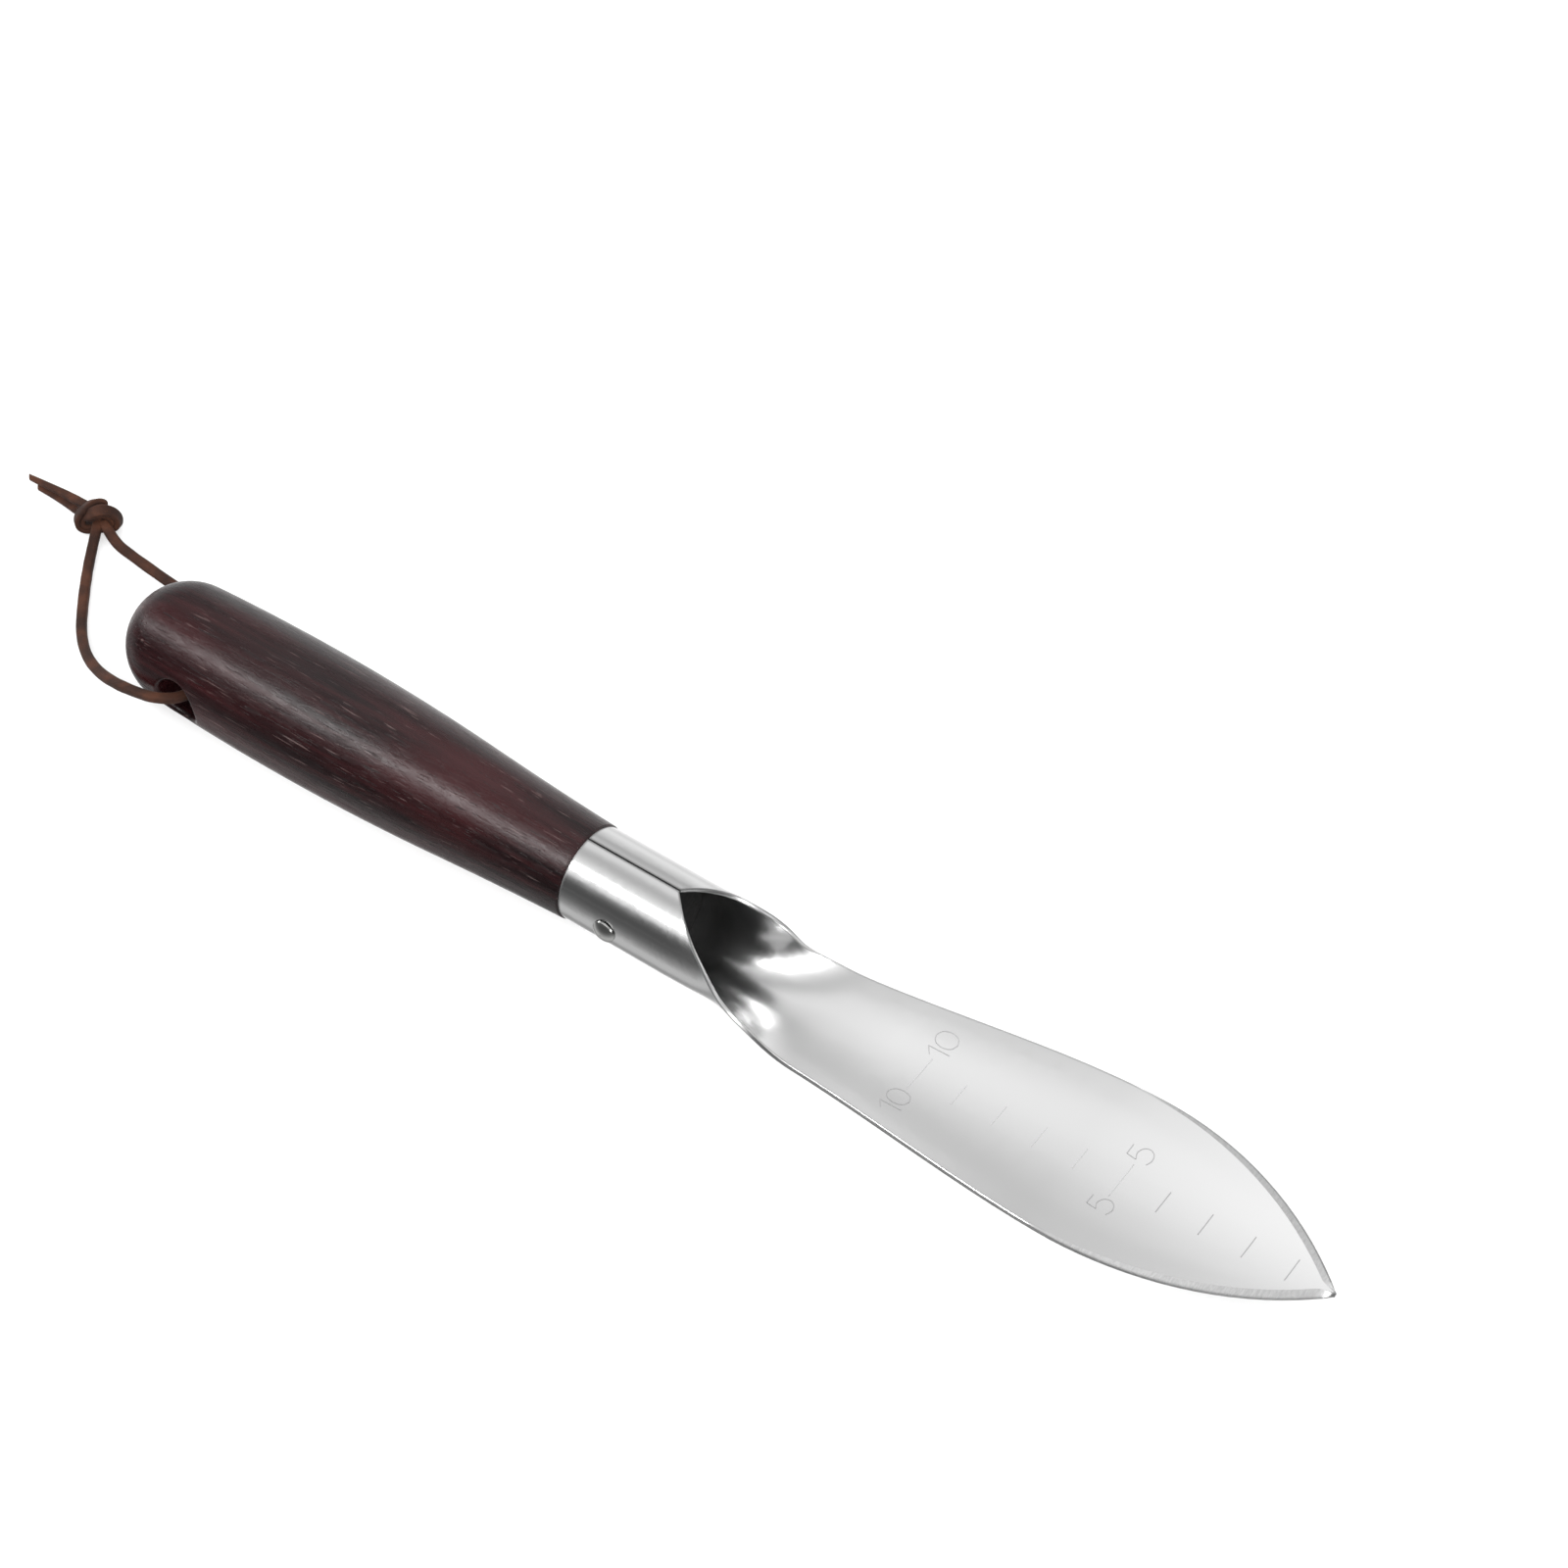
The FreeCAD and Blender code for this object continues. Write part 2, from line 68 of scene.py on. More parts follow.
# The lace's routes, in metres from the middle of the hang hole: the same points as in the part.
NEAR_ROUTE = [
    (0.0, 0.0, 0.0003),
    (0.0009, -0.0069, 0.0004),
    (0.0010, -0.0136, 0.0011),
    (-0.0032, -0.0174, 0.0015),
    (-0.0096, -0.0176, -0.0003),
    (-0.0178, -0.0166, -0.0032),
    (-0.0266, -0.0140, -0.0069),
    (-0.0356, -0.0096, -0.0103),
    (-0.0439, -0.0032, -0.0126),
    (-0.0504, 0.0042, -0.01295),
    (-0.0568, 0.0122, -0.01295),
    (-0.0622, 0.0198, -0.0127),
    (-0.0664, 0.0270, -0.0108),
]
FAR_ROUTE = [
    (0.0, 0.0, 0.0003),
    (-0.0004, 0.0072, 0.0003),
    (-0.0006, 0.0142, 0.0),
    (-0.0046, 0.0176, -0.0016),
    (-0.0106, 0.0194, -0.0044),
    (-0.0180, 0.0204, -0.0080),
    (-0.0264, 0.0210, -0.0112),
    (-0.0354, 0.0217, -0.0127),
    (-0.0442, 0.0227, -0.01295),
    (-0.0524, 0.0236, -0.01295),
    (-0.0594, 0.0244, -0.0127),
    (-0.0650, 0.0270, -0.0109),
]
# The tails, as flat strips: the upper one lies on the lower.
TAIL_ROUTES = [
    [(-0.0695, 0.0278, -0.0098), (-0.0774, 0.0287, -0.0109), (-0.0850, 0.0287, -0.0115),
     (-0.0919, 0.0285, -0.0119)],
    [(-0.0700, 0.0267, -0.0121), (-0.0764, 0.0276, -0.0128), (-0.0826, 0.0280, -0.0130),
     (-0.0888, 0.0281, -0.0132)],
]
LACE_WIDTH = 0.0026
LACE_THICKNESS = 0.0020
KNOT_BAND = (0.0030, 0.0013)  # the lace's width and thickness where it is pulled tight
KNOT_LAYER = 0.68 * MM  # how far each of the two laces in the knot lies from the route between them
TAIL_BAND = (0.0025, 0.0017)  # a tail's width and thickness
TAIL_TAPER = 0.42  # the share of its size that a tail loses towards its end
TAIL_SLANT = 0.5  # how askew a tail's end is cut
FLOOR_GAP = 0.00005  # what stays between the lace and the floor
# The ways that the flat sides of the lace face.
NEAR_FACING = Vector((0.0, 0.0, 1.0))
FAR_FACING = Vector((0.35, -0.55, 0.75))
TAIL_FACING = Vector((0.2, -0.2, 1.0))
SWAY = math.radians(14.0)  # how far a strand's flat side sways to and fro
SWAY_WAVES = 7.0  # over the strand's length, in radians of the wave

# The knot, in millimetres about its middle: along, up the view and towards the camera's side of the view.
KNOT_CENTRE = HOLE + Vector((-0.0674, 0.0274, -0.0106))
KNOT_TURN = math.radians(36.0)
KNOT_TILT = math.radians(47.8)
KNOT_HEART = (0.2, -0.6, 0.0)  # the point that the bands in the knot face away from
KNOT_ROUTE = [
    (0.5, -4.6, 2.6),
    (0.6, -1.9, 0.9),
    (1.2, 0.9, -1.0),
    (1.1, 2.9, -1.4),
    (-0.6, 2.9, 0.8),
    (-2.3, 1.2, 2.3),
    (-4.0, -0.6, 1.7),
    (-4.2, -2.4, 0.5),
    (-2.6, -3.2, -0.4),
    (0.0, -2.7, -0.9),
    (2.8, -2.9, -0.6),
    (4.9, -2.4, 0.0),
    (5.0, -0.5, 1.2),
    (3.2, 0.8, 3.0),
    (0.8, 0.6, 3.4),
    (-1.5, -0.3, 2.4),
    (-3.0, 0.0, 0.2),
    (-4.4, 1.2, -0.7),
    (-6.0, 2.2, -0.6),
]


# --------------------------------------------------------------------------------------- camera and light


def add_camera():
    """The camera: a long lens above and to the right of the near side."""
    place = Vector((0.29581, -0.37384, 0.58796))
    azimuth, elevation, roll = (math.radians(a) for a in (35.885, 47.803, 0.262))
    back = Vector((
        math.sin(azimuth) * math.cos(elevation),
        -math.cos(azimuth) * math.cos(elevation),
        math.sin(elevation),
    ))
    level = Vector((math.cos(azimuth), math.sin(azimuth), 0.0))
    above = back.cross(level)
    right = math.cos(roll) * level + math.sin(roll) * above
    up = back.cross(right)
    data = bpy.data.cameras.new("camera")
    data.sensor_fit = "HORIZONTAL"
    data.sensor_width = 36.0
    data.lens = 78.75
    data.clip_start = 0.01
    camera = bpy.data.objects.new("camera", data)
    turn = Matrix((right, up, back)).transposed().to_4x4()
    camera.matrix_world = Matrix.Translation(place) @ turn
    bpy.context.scene.collection.objects.link(camera)
    bpy.context.scene.camera = camera


# The studio, as a polished tube along X mirrors it: brightness by the angle round the X axis, in degrees from
# the far side over the top to the near side.
STUDIO = [
    (-180, 0.13), (-172, 0.11), (-158, 0.18), (-142, 0.36), (-126, 0.66), (-110, 0.64), (-94, 0.34),
    (-78, 0.50), (-66, 1.20), (-40, 1.15), (-14, 0.90), (2, 1.10), (14, 0.98), (26, 0.80), (34, 0.58),
    (42, 0.62), (50, 0.80), (58, 0.93), (66, 1.00), (74, 0.94), (82, 0.70), (90, 0.62), (98, 0.72),
    (107, 0.92), (119, 1.15), (124, 9.00), (131, 9.00), (137, 1.20), (146, 1.00), (154, 0.30), (162, 0.14),
    (170, 0.10),
]


def add_world():
    """A soft studio: bright above and on the far side, one long soft box, and dark towards the viewer."""
    world = bpy.data.worlds.new("studio")
    bpy.context.scene.world = world
    world.use_nodes = True
    graph = Graph(world.node_tree)
    direction = graph.add("ShaderNodeSeparateXYZ", graph.add("ShaderNodeTexCoord").outputs["Generated"])
    angle = graph.math("ARCTAN2", direction.outputs["Z"], direction.outputs["Y"])
    share = graph.math("MULTIPLY_ADD", angle, 1.0 / math.tau, 0.5)
    stops = [(0.5 + degrees / 360.0, (light, light, light, 1.0)) for degrees, light in STUDIO]
    ramp = graph.ramp(share, stops)
    background = graph.add("ShaderNodeBackground", ramp)
    output = graph.add("ShaderNodeOutputWorld")
    graph.link(background.outputs[0], output.inputs["Surface"])


def add_area_light(name, place, aim, size, power, mirrored):
    """A rectangular soft light. One that isn't mirrored lights the scene without showing in the steel."""
    data = bpy.data.lights.new(name, "AREA")
    data.shape = "RECTANGLE"
    data.size, data.size_y = size
    data.energy = power
    lamp = bpy.data.objects.new(name, data)
    facing = (Vector(aim) - Vector(place)).to_track_quat("-Z", "Y")
    lamp.matrix_world = Matrix.Translation(Vector(place)) @ facing.to_matrix().to_4x4()
    lamp.visible_glossy = mirrored
    bpy.context.scene.collection.objects.link(lamp)


FLOOR_REACH = 12.0  # from the middle to each side
FLOOR_DROP = 0.0001


def add_floor():
    """A plain pale floor, a little under the tool so that nothing flickers."""
    mesh = bpy.data.meshes.new("floor")
    signs = [(-1.0, -1.0), (1.0, -1.0), (1.0, 1.0), (-1.0, 1.0)]
    corners = [(x * FLOOR_REACH, y * FLOOR_REACH, 0.0) for x, y in signs]
    mesh.from_pydata(corners, [], [(0, 1, 2, 3)])
    floor = bpy.data.objects.new("floor", mesh)
    floor.location.z = -FLOOR_DROP
    bpy.context.scene.collection.objects.link(floor)
    floor.visible_glossy = False
    material, graph, shader = new_material("floor_white")
    shader.inputs["Base Color"].default_value = (0.42, 0.42, 0.42, 1.0)
    shader.inputs["Emission Color"].default_value = (1.0, 1.0, 1.0, 1.0)
    shader.inputs["Emission Strength"].default_value = 0.56
    shader.inputs["Roughness"].default_value = 0.9
    shader.inputs["Specular IOR Level"].default_value = 0.1
    mesh.materials.append(material)


# -------------------------------------------------------------------------------------------- node helper


class Graph:
    """A short way to write node trees."""

    def __init__(self, tree):
        self.tree = tree
        tree.nodes.clear()

    def link(self, source, target):
        self.tree.links.new(source, target)

    def feed(self, value, target):
        """Sets a socket to a number or colour, or links it to an output."""
        if value is None:
            return
        if isinstance(value, bpy.types.NodeSocket):
            self.link(value, target)
        else:
            target.default_value = value

    def add(self, kind, *inputs, **settings):
        node = self.tree.nodes.new(kind)
        for name, value in settings.items():
            setattr(node, name, value)
        for value, target in zip(inputs, node.inputs):
            self.feed(value, target)
        return node

    def math(self, operation, *inputs):
        return self.add("ShaderNodeMath", *inputs, operation=operation).outputs[0]

    def ramp(self, factor, stops):
        node = self.add("ShaderNodeValToRGB", factor)
        elements = node.color_ramp.elements
        while len(elements) > 1:
            elements.remove(elements[-1])
        elements[0].position, elements[0].color = stops[0]
        for position, colour in stops[1:]:
            element = elements.new(position)
            element.color = colour
        return node.outputs["Color"]

    def spread(self, value, low, high, new_low=0.0, new_high=1.0):
        """Maps a value from one range to another, level outside it."""
        node = self.add("ShaderNodeMapRange", interpolation_type="SMOOTHSTEP")
        for name, given in zip(("Value", "From Min", "From Max", "To Min", "To Max"),
                               (value, low, high, new_low, new_high)):
            self.feed(given, node.inputs[name])
        return node.outputs["Result"]

    def mix(self, factor, first, second):
        """Mixes two colours."""
        node = self.add("ShaderNodeMix", data_type="RGBA")
        for index, given in ((0, factor), (6, first), (7, second)):
            self.feed(given, node.inputs[index])
        return node.outputs[2]

    def noise(self, place, scale, detail=2.0, roughness=0.5, distortion=0.0):
        node = self.add("ShaderNodeTexNoise")
        for name, given in (("Vector", place), ("Scale", scale), ("Detail", detail),
                            ("Roughness", roughness), ("Distortion", distortion)):
            self.feed(given, node.inputs[name])
        return node.outputs["Fac"]

    def stretched(self, place, scale):
        """The place with each axis scaled by its own number."""
        node = self.add("ShaderNodeMapping", place)
        node.inputs["Scale"].default_value = scale
        return node.outputs[0]

    def sharp_edges(self, reach):
        """One on edges and on rims thinner than the reach, nought on open faces."""
        rounded = self.add("ShaderNodeBevel", reach, samples=8).outputs[0]
        plain = self.add("ShaderNodeNewGeometry").outputs["Normal"]
        likeness = self.add("ShaderNodeVectorMath", rounded, plain, operation="DOT_PRODUCT").outputs["Value"]
        return self.spread(likeness, 0.985, 0.90)

    def bump(self, height, strength, distance, normal=None):
        node = self.add("ShaderNodeBump")
        for name, given in (("Strength", strength), ("Distance", distance), ("Height", height),
                            ("Normal", normal)):
            self.feed(given, node.inputs[name])
        return node.outputs["Normal"]


def new_material(name):
    material = bpy.data.materials.new(name)
    material.use_nodes = True
    graph = Graph(material.node_tree)
    shader = graph.add("ShaderNodeBsdfPrincipled")
    output = graph.add("ShaderNodeOutputMaterial")
    graph.link(shader.outputs[0], output.inputs["Surface"])
    return material, graph, shader


def dress(piece, material):
    piece.data.materials.clear()
    piece.data.materials.append(material)


# ---------------------------------------------------------------------------------------------- materials


def wood():
    """Dark open-pored hardwood, stained and oiled: fibres and pores run along the handle."""
    material, graph, shader = new_material("handle_wood")
    place = graph.add("ShaderNodeTexCoord").outputs["Object"]
    clouds = graph.noise(graph.stretched(place, (12.0, 70.0, 70.0)), 1.0, 3.0)
    streaks = graph.noise(graph.stretched(place, (22.0, 700.0, 700.0)), 1.0, 4.0, 0.6, 0.2)
    base = graph.ramp(graph.spread(streaks, 0.3, 0.72), [
        (0.0, (0.0045, 0.0017, 0.0020, 1.0)),
        (0.5, (0.0095, 0.0030, 0.0035, 1.0)),
        (1.0, (0.0180, 0.0050, 0.0056, 1.0)),
    ])
    reddish = graph.mix(graph.math("MULTIPLY", graph.spread(clouds, 0.42, 0.68), 0.75), base,
                        (0.0320, 0.0062, 0.0072, 1.0))
    thin_lines = graph.noise(graph.stretched(place, (95.0, 3200.0, 3200.0)), 1.0, 2.0, 0.5)
    dark_lines = graph.spread(thin_lines, 0.37, 0.31)
    shaded = graph.mix(graph.math("MULTIPLY", dark_lines, 0.7), reddish, (0.003, 0.0015, 0.0015, 1.0))
    pore_lines = graph.noise(graph.stretched(place, (105.0, 2600.0, 2600.0)), 1.0, 1.0, 0.4)
    pore_zones = graph.noise(graph.stretched(place, (70.0, 190.0, 190.0)), 1.0, 1.0)
    pores = graph.math("MULTIPLY", graph.spread(pore_lines, 0.66, 0.74), graph.spread(pore_zones, 0.38, 0.58))
    colour = graph.mix(graph.math("MULTIPLY", pores, 0.42), shaded, (0.16, 0.11, 0.105, 1.0))
    along = graph.add("ShaderNodeSeparateXYZ", place).outputs["X"]
    # The tenon, whose end shows through the mouth, is painted nearly black and dull: painted shade inside the
    # socket.
    tenon_painted_shade = graph.spread(along, SOCKET_END + 0.001, SOCKET_END + 0.006)
    colour = graph.mix(tenon_painted_shade, colour, (0.0012, 0.0009, 0.0009, 1.0))
    graph.link(colour, shader.inputs["Base Color"])
    scales = graph.noise(graph.stretched(place, (260.0, 1100.0, 1100.0)), 1.0, 3.0, 0.6, 0.8)
    gloss = graph.math("MULTIPLY_ADD", dark_lines, 0.15, graph.spread(scales, 0.35, 0.65, 0.22, 0.34))
    graph.link(graph.math("MULTIPLY_ADD", tenon_painted_shade, 0.6, gloss), shader.inputs["Roughness"])
    graph.link(graph.spread(along, -0.160, -0.100, 0.20, 0.34), shader.inputs["Specular IOR Level"])
    normal = graph.bump(scales, 0.28, 0.0002)
    normal = graph.bump(graph.math("SUBTRACT", 1.0, dark_lines), 0.35, 0.0001, normal)
    graph.link(normal, shader.inputs["Normal"])
    return material


def steel():
    """Stainless sheet: polished socket, satin blade, ground bevel at its point and dull cut rims, with painted
    light and shade along its length and a painted shadow line on the rims.
    """
    material, graph, shader = new_material("blade_steel")
    coordinates = graph.add("ShaderNodeTexCoord")
    place = coordinates.outputs["Object"]
    where = graph.add("ShaderNodeSeparateXYZ", place)
    facing = graph.add("ShaderNodeSeparateXYZ", coordinates.outputs["Normal"])
    along = where.outputs["X"]
    # How far the polish of the socket has given way to the satin of the blade, in its gloss and in its grain.
    duller = graph.spread(along, -0.004, 0.014)
    satin = graph.spread(along, 0.020, 0.046)
    # The top of the dish faces the blade's middle; the bevel, the edge and the underside face outwards.
    outwards = graph.math("MULTIPLY", facing.outputs["Y"], graph.math("SIGN", where.outputs["Y"]))
    near_point = graph.spread(along, TIP_X - BEVEL_LENGTH, TIP_X - 0.8 * BEVEL_LENGTH)
    ground = graph.math("MULTIPLY", graph.spread(outwards, 0.04, 0.10), near_point)
    # Painted light and shade: the sheet's colour is darkest at the socket, lighter along the blade and
    # lightest at the tip, for the blade's brighter reflections.
    painted_light_tone = graph.ramp(graph.spread(along, -0.010, TIP_X), [
        (0.0, (0.68, 0.68, 0.68, 1.0)),
        (0.3, (0.86, 0.86, 0.86, 1.0)),
        (0.7, (0.83, 0.83, 0.83, 1.0)),
        (1.0, (0.95, 0.95, 0.95, 1.0)),
    ])
    grit = graph.noise(graph.stretched(place, (3500.0, 700.0, 700.0)), 1.0, 3.0)
    ground_tone = graph.ramp(grit, [(0.3, (0.64, 0.64, 0.64, 1.0)), (0.7, (0.80, 0.80, 0.80, 1.0))])
    tone = graph.mix(ground, painted_light_tone, ground_tone)
    # The cut rims are duller, and their colour is painted dark: a painted shadow line along the sheet's edges
    # and rims.
    rim_painted_shade = graph.sharp_edges(RIM_REACH)
    tone = graph.mix(graph.math("MULTIPLY", rim_painted_shade, 0.9), tone, (0.20, 0.20, 0.20, 1.0))
    graph.link(tone, shader.inputs["Base Color"])
    shader.inputs["Metallic"].default_value = 1.0
    brushed = graph.noise(graph.stretched(place, (40.0, 4200.0, 4200.0)), 1.0, 2.0)
    smudge = graph.noise(place, 90.0, 3.0)
    rough = graph.spread(duller, 0.0, 1.0, 0.12, 0.20)
    rough = graph.math("MULTIPLY_ADD", smudge, 0.03, rough)
    rough = graph.math("MULTIPLY_ADD", ground, 0.06, rough)
    rough = graph.math("MULTIPLY_ADD", rim_painted_shade, 0.45, rough)
    graph.link(rough, shader.inputs["Roughness"])
    normal = graph.bump(brushed, graph.math("MULTIPLY", satin, 0.05), 0.00005)
    normal = graph.bump(grit, graph.math("MULTIPLY", ground, 0.07), 0.00006, normal)
    graph.link(normal, shader.inputs["Normal"])
    return material


def rivet_steel():
    """The rivet: the same steel, hammered and a little duller."""
    material, graph, shader = new_material("rivet_steel")
    place = graph.add("ShaderNodeTexCoord").outputs["Object"]
    shader.inputs["Base Color"].default_value = (0.55, 0.55, 0.54, 1.0)
    shader.inputs["Metallic"].default_value = 1.0
    dents = graph.noise(place, 700.0, 2.0)
    graph.link(graph.spread(dents, 0.3, 0.7, 0.12, 0.22), shader.inputs["Roughness"])
    graph.link(graph.bump(dents, 0.12, 0.0002), shader.inputs["Normal"])
    return material


def mark_grey():
    """The etched marks: pale grey, the lines worn paler from the middle of the blade to the socket."""
    material, graph, shader = new_material("etched_mark")
    place = graph.add("ShaderNodeTexCoord").outputs["Object"]
    where = graph.add("ShaderNodeSeparateXYZ", place)
    away = graph.spread(where.outputs["X"], 0.122, 0.108, 0.0, 0.8)
    inner = graph.spread(graph.math("ABSOLUTE", where.outputs["Y"]), 0.0056, 0.0040, 0.15, 1.0)
    patches = graph.noise(place, 700.0, 2.0)
    worn = graph.math("MULTIPLY_ADD", patches, 0.4, graph.math("MULTIPLY", away, inner))
    graph.link(graph.ramp(worn, [(0.2, (0.54, 0.54, 0.54, 1.0)), (0.9, (0.80, 0.80, 0.80, 1.0))]),
               shader.inputs["Base Color"])
    shader.inputs["Metallic"].default_value = 1.0
    shader.inputs["Roughness"].default_value = 0.45
    return material


def leather():
    """Brown oiled leather, matt, with a fine nap and darker creases."""
    material, graph, shader = new_material("lace_leather")
    place = graph.add("ShaderNodeTexCoord").outputs["Object"]
    broad = graph.noise(place, 180.0, 3.0)
    nap = graph.noise(place, 3200.0, 4.0, 0.6)
    colour = graph.ramp(graph.spread(broad, 0.3, 0.7), [
        (0.0, (0.0170, 0.0062, 0.0036, 1.0)),
        (0.55, (0.0330, 0.0112, 0.0056, 1.0)),
        (1.0, (0.0540, 0.0185, 0.0088, 1.0)),
    ])
    worn = graph.mix(graph.math("MULTIPLY", graph.spread(nap, 0.5, 0.75), 0.5), colour,
                     (0.074, 0.031, 0.018, 1.0))
    graph.link(worn, shader.inputs["Base Color"])
    graph.link(graph.spread(nap, 0.3, 0.7, 0.62, 0.85), shader.inputs["Roughness"])
    shader.inputs["Specular IOR Level"].default_value = 0.2
    shader.inputs["Sheen Weight"].default_value = 0.03
    shader.inputs["Sheen Roughness"].default_value = 0.5
    normal = graph.bump(broad, 0.3, 0.0004)
    graph.link(graph.bump(nap, 0.5, 0.00015, normal), shader.inputs["Normal"])
    return material


# --------------------------------------------------------------------------------------------------- lace


def nurbs_points(points, steps=14):
    """Points on the smooth curve that has the given control points."""
    data = bpy.data.curves.new("route", "CURVE")
    data.dimensions = "3D"
    data.resolution_u = steps
    spline = data.splines.new("NURBS")
    spline.points.add(len(points) - 1)
    for control, place in zip(spline.points, points):
        control.co = (*place, 1.0)
    spline.order_u = 3
    spline.use_endpoint_u = True
    carrier = bpy.data.objects.new("route", data)
    bpy.context.scene.collection.objects.link(carrier)
    line = bpy.data.meshes.new_from_object(carrier)
    found = [vertex.co.copy() for vertex in line.vertices]
    bpy.data.objects.remove(carrier)
    bpy.data.meshes.remove(line)
    bpy.data.curves.remove(data)
    return found


def lace_outline(width, thickness, corner=0.34, per_corner=4):
    """The cross-section: a rectangle with well rounded corners, as (sideways, outwards) pairs."""
    radius = corner * min(width, thickness)
    outline = []
    for quarter in range(4):
        turn = math.radians(90.0 * quarter)
        side = 1.0 if quarter in (0, 3) else -1.0
        out = 1.0 if quarter in (0, 1) else -1.0
        for step in range(per_corner):
            angle = turn + math.radians(90.0) * step / (per_corner - 1)
            outline.append((
                side * (width / 2.0 - radius) + radius * math.cos(angle),
                out * (thickness / 2.0 - radius) + radius * math.sin(angle),
            ))
    return outline


def sweep_lace(name, path, outward, width=LACE_WIDTH, thickness=LACE_THICKNESS, slant=0.0, taper=0.0):
    """A strip of lace along a path; outward gives the way its flat face looks at each point.

    Taper is the share of its size that the strip loses towards its far end, and slant cuts that end askew.
    """
    outline = lace_outline(width, thickness)
    mesh = bmesh.new()
    rings = []
    for index, place in enumerate(path):
        ahead = path[min(index + 1, len(path) - 1)] - path[max(index - 1, 0)]
        ahead.normalize()
        out = outward(index)
        out = (out - ahead * out.dot(ahead)).normalized()
        side = ahead.cross(out)
        # Cut leather is uneven, by up to a twentieth.
        size = 1.0 + 0.05 * noise.noise(place * 300.0 + Vector((0.0, 0.0, len(path))))
        size *= 1.0 - taper * index / (len(path) - 1)
        cut = slant if index == len(path) - 1 else 0.0
        ring = []
        for across, over in outline:
            point = place + side * (across * size) + out * (over * size) + ahead * (across * cut)
            point.z = max(point.z, FLOOR_GAP)
            ring.append(mesh.verts.new(point))
        rings.append(ring)
    count = len(outline)
    for first, second in zip(rings, rings[1:]):
        for k in range(count):
            mesh.faces.new((first[k], first[(k + 1) % count], second[(k + 1) % count], second[k]))
    mesh.faces.new(list(reversed(rings[0])))
    mesh.faces.new(rings[-1])
    bmesh.ops.recalc_face_normals(mesh, faces=mesh.faces)
    for face in mesh.faces:
        face.smooth = True
    data = bpy.data.meshes.new(name)
    mesh.to_mesh(data)
    mesh.free()
    piece = bpy.data.objects.new(name, data)
    bpy.context.scene.collection.objects.link(piece)
    return piece


def strand(name, route, facing):
    """One strand of the lace on its route; facing is the way its flat side looks, which sways a little."""
    path = nurbs_points([HOLE + Vector(point) for point in route])

    def outward(index):
        lean = SWAY * math.sin(index / len(path) * SWAY_WAVES)
        return facing + Vector((math.sin(lean), 0.3 * math.sin(lean), 0.0))

    return sweep_lace(name, path, outward), path


def from_view(point):
    """A point of the knot's own design, put where it stands in the part."""
    along, up, near = point
    across = math.sin(KNOT_TILT) * up - math.cos(KNOT_TILT) * near
    height = math.cos(KNOT_TILT) * up + math.sin(KNOT_TILT) * near
    x = math.cos(KNOT_TURN) * along - math.sin(KNOT_TURN) * across
    y = math.sin(KNOT_TURN) * along + math.cos(KNOT_TURN) * across
    return KNOT_CENTRE + Vector((x, y, height)) * MM


def knot_lace(name, shift, first, last):
    """One of the two laces through the knot, which lie on each other: the shift is outwards or inwards."""
    heart = from_view(KNOT_HEART)
    controls = []
    for place in [from_view(point) for point in KNOT_ROUTE]:
        controls.append(place + (place - heart).normalized() * shift)
    controls[0] = first
    controls[-1] = last
    path = nurbs_points(controls, steps=8)

    def outward(index):
        # The mean over a few neighbours, so that the band turns slowly.
        near_by = [path[k] - heart for k in range(max(index - 5, 0), min(index + 6, len(path)))]
        return sum(near_by, Vector()) / len(near_by)

    return sweep_lace(name, path, outward, *KNOT_BAND)


def join(name, pieces):
    """Makes one piece of several."""
    whole = bmesh.new()
    for piece in pieces:
        whole.from_mesh(piece.data)
        bpy.data.objects.remove(piece)
    data = bpy.data.meshes.new(name)
    whole.to_mesh(data)
    whole.free()
    joined = bpy.data.objects.new(name, data)
    bpy.context.scene.collection.objects.link(joined)
    return joined


def make_lace(material):
    """The lace: two strands into one knot, and two tails out of it."""
    near, near_path = strand("lace_near_strand", NEAR_ROUTE, NEAR_FACING)
    far, far_path = strand("lace_far_strand", FAR_ROUTE, FAR_FACING)
    knot = join("lace_knot", [
        knot_lace("knot_a", KNOT_LAYER, near_path[-1], HOLE + Vector(TAIL_ROUTES[0][0])),
        knot_lace("knot_b", -KNOT_LAYER, far_path[-1], HOLE + Vector(TAIL_ROUTES[1][0])),
    ])
    tails = []
    for number, route in enumerate(TAIL_ROUTES):
        path = nurbs_points([HOLE + Vector(point) for point in route])
        tails.append(sweep_lace(f"tail_{number}", path, lambda index: TAIL_FACING, *TAIL_BAND,
                                slant=TAIL_SLANT, taper=TAIL_TAPER))
    tails = join("lace_tails", tails)
    for piece, node in (
        (near, "lanyard_near_strand"),
        (far, "lanyard_far_strand"),
        (knot, "lanyard_knot"),
        (tails, "lanyard_tails"),
    ):
        dress(piece, material)
        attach(piece, "lace")
        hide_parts(node)


# -------------------------------------------------------------------------------------------- depth marks

MARK_LINE = 0.22 * MM
MARK_LIFT = 0.03 * MM  # how far the marks stand out of the blade
MARK_STEP = 0.5 * MM  # about the widest gap between the points at which a mark is laid on the blade
SHORT_HALF = 3.05 * MM  # half the length of a plain line
LONG_HALF = 4.9 * MM  # half the length of a numbered line
NUMERAL_GAP = 0.7 * MM
DIGIT_HEIGHT, DIGIT_WIDTH, DIGIT_SPACE = 5.4 * MM, 4.2 * MM, 0.9 * MM
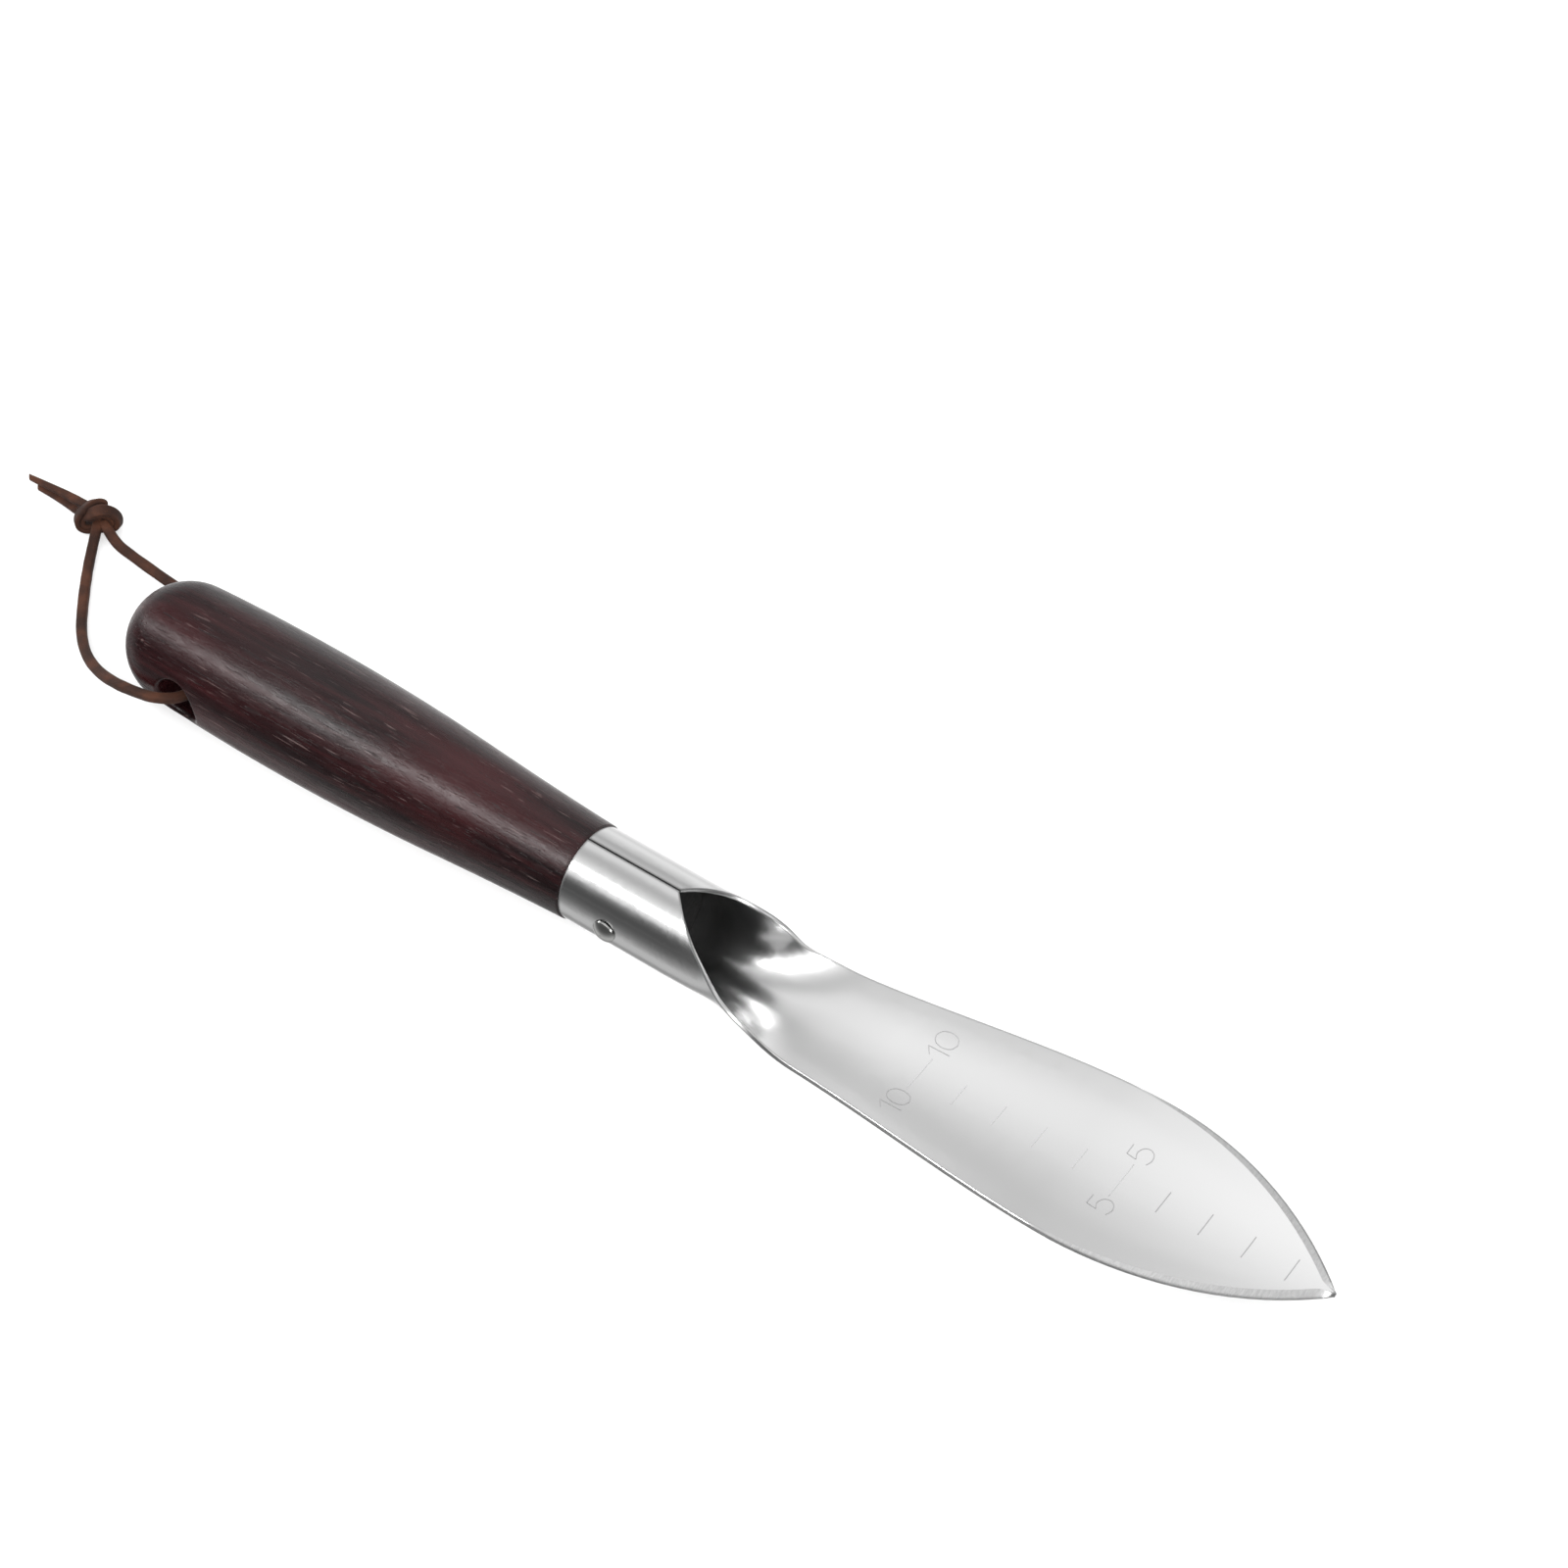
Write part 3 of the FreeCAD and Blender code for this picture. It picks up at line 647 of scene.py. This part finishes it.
# Each digit: how wide it is, as a share of a full one, and its strokes as (across, up) from 0 to 1.
DIGITS = {
    "0": (1.0, [[(0.5, 0.0), (0.15, 0.14), (0.02, 0.5), (0.15, 0.86), (0.5, 1.0), (0.85, 0.86), (0.98, 0.5),
                 (0.85, 0.14), (0.5, 0.0)]]),
    "1": (0.42, [[(0.0, 0.74), (1.0, 1.0), (1.0, 0.0)]]),
    "5": (1.0, [[(0.84, 1.0), (0.20, 1.0)], [(0.20, 1.0), (0.13, 0.56)],
                [(0.13, 0.56), (0.5, 0.68), (0.86, 0.56), (0.98, 0.33), (0.84, 0.1), (0.48, 0.0),
                 (0.1, 0.1)]]),
}


def round_stroke(stroke, steps=4):
    """A smooth line through a stroke's points."""
    points = [Vector(p) for p in stroke]
    smooth = []
    for index in range(len(points) - 1):
        before = points[max(index - 1, 0)]
        first, second = points[index], points[index + 1]
        after = points[min(index + 2, len(points) - 1)]
        for k in range(steps):
            t = k / steps
            smooth.append(0.5 * (
                2.0 * first + (second - before) * t
                + (2.0 * before - 5.0 * first + 4.0 * second - after) * t * t
                + (3.0 * first - before - 3.0 * second + after) * t * t * t
            ))
    smooth.append(points[-1])
    return smooth


def run_of(text):
    """How wide a number is."""
    return sum(DIGITS[digit][0] * DIGIT_WIDTH + DIGIT_SPACE for digit in text) - DIGIT_SPACE


def make_marks(material):
    """The depth scale: a line each centimetre, longer and numbered at 5 and 10."""
    blade = frame["nodes"]["blade_socket"]
    surface = BVHTree.FromObject(blade, bpy.context.evaluated_depsgraph_get())
    mesh = bmesh.new()

    def on_blade(x, y):
        hit = surface.ray_cast(Vector((x, y, 0.05)), Vector((0.0, 0.0, -1.0)))
        return hit[0] + Vector((0.0, 0.0, MARK_LIFT))

    def ribbon(points):
        """A thin line laid on the blade, through points of its plan."""
        fine = []
        for (x0, y0), (x1, y1) in zip(points, points[1:]):
            steps = max(1, round(math.hypot(x1 - x0, y1 - y0) / MARK_STEP))
            fine += [(x0 + (x1 - x0) * k / steps, y0 + (y1 - y0) * k / steps) for k in range(steps)]
        fine.append(points[-1])
        rows = []
        for index, (x, y) in enumerate(fine):
            x0, y0 = fine[max(index - 1, 0)]
            x1, y1 = fine[min(index + 1, len(fine) - 1)]
            length = math.hypot(x1 - x0, y1 - y0)
            across = (-(y1 - y0) / length * MARK_LINE / 2.0, (x1 - x0) / length * MARK_LINE / 2.0)
            rows.append([mesh.verts.new(on_blade(x + s * across[0], y + s * across[1])) for s in (-1, 1)])
        for first, second in zip(rows, rows[1:]):
            mesh.faces.new((first[0], first[1], second[1], second[0]))

    def numeral(text, x, y):
        """A number across the blade, from y on, with its foot towards the tip."""
        for digit in text:
            share, strokes = DIGITS[digit]
            width = share * DIGIT_WIDTH
            for stroke in strokes:
                line = round_stroke(stroke) if len(stroke) > 3 else stroke
                ribbon([(x - (up - 0.5) * DIGIT_HEIGHT, y + across * width) for across, up in line])
            y += width + DIGIT_SPACE

    for centimetre in range(1, 11):
        x = TIP_X - centimetre * 10.0 * MM
        numbered = centimetre % 5 == 0
        half = LONG_HALF if numbered else SHORT_HALF
        ribbon([(x, -half), (x, half)])
        if numbered:
            text = str(centimetre)
            beside = half + NUMERAL_GAP
            numeral(text, x, beside)
            numeral(text, x, -beside - run_of(text))
    bmesh.ops.recalc_face_normals(mesh, faces=mesh.faces)
    data = bpy.data.meshes.new("depth_marks")
    mesh.to_mesh(data)
    mesh.free()
    marks = bpy.data.objects.new("depth_marks", data)
    bpy.context.scene.collection.objects.link(marks)
    dress(marks, material)
    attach(marks, "tool")


# -------------------------------------------------------------------------------------------------- scene

add_camera()
make_lace(leather())
make_marks(mark_grey())
for node, material in (("blade_socket", steel()), ("handle", wood()), ("rivet", rivet_steel())):
    dress(frame["nodes"][node], material)
add_world()
add_floor()
add_area_light("fill", (0.0, 0.0, 1.6), (0.0, 0.0, 0.0), (2.4, 2.4), 22.0, False)
bpy.context.scene.view_settings.view_transform = "Standard"
